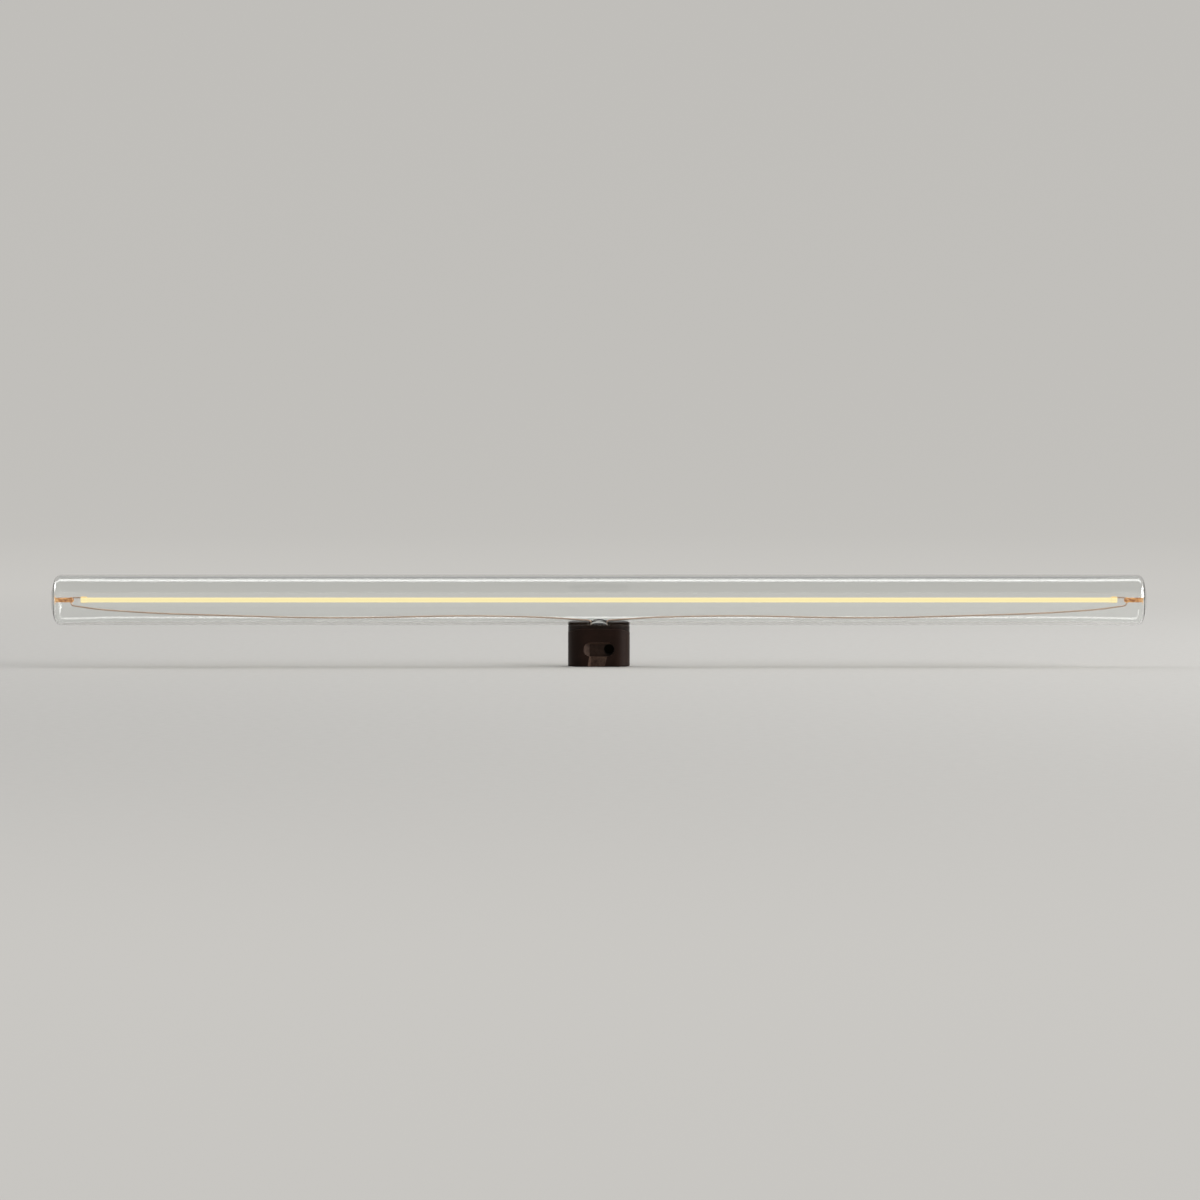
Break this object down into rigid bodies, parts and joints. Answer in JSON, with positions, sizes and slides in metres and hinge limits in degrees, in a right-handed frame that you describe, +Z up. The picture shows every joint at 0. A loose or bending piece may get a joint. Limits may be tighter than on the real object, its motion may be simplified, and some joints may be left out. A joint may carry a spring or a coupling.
{
  "type": "linear led tube lamp",
  "caption": "Clear closed glass tube with a straight light strip on its axis, on an oblong brown push-in cap at the middle of its underside.",
  "frame": {"origin": "middle of the cap's flat foot", "axes": "+Z up from the cap to the tube, X along the tube, -Y towards the front of the cap"},
  "size_m": [0.5, 0.023, 0.0417],
  "materials": {
    "clear_glass": "clear drawn soda-lime glass",
    "amber_glass": "glass rod that carries the strip's amber light",
    "lit_phosphor": "phosphor-filled silicone, lit",
    "nickel_wire": "drawn bare nickel wire",
    "clear_silicone": "clear moulded silicone",
    "brown_plastic": "moulded dark brown phenolic plastic, satin",
    "basing_cement": "cured basing cement",
    "contact_brass": "stamped brass strip",
    "board_laminate": "green glass-epoxy laminate",
    "package_resin": "black moulding resin",
    "resistor_lacquer": "lacquered resistor body",
    "sleeve_plastic": "white insulating sleeve"
  },
  "bodies": {
    "root": {"glass_tube": "clear_glass", "left_support_rod": "amber_glass", "right_support_rod": "amber_glass", "glass_stem": "clear_glass", "led_filament": "lit_phosphor", "left_lead_wire": "nickel_wire", "right_lead_wire": "nickel_wire", "seal": "clear_silicone", "cap_housing": "brown_plastic", "cap_cement": "basing_cement", "front_contact": "contact_brass", "rear_contact": "contact_brass", "driver_board": "board_laminate", "bridge_rectifier": "package_resin", "inner_driver_chip": "package_resin", "outer_driver_chip": "package_resin", "surge_absorber": "package_resin", "fuse_resistor": "resistor_lacquer", "left_lead_sleeve": "sleeve_plastic", "right_lead_sleeve": "sleeve_plastic"}
  },
  "joints": []
}
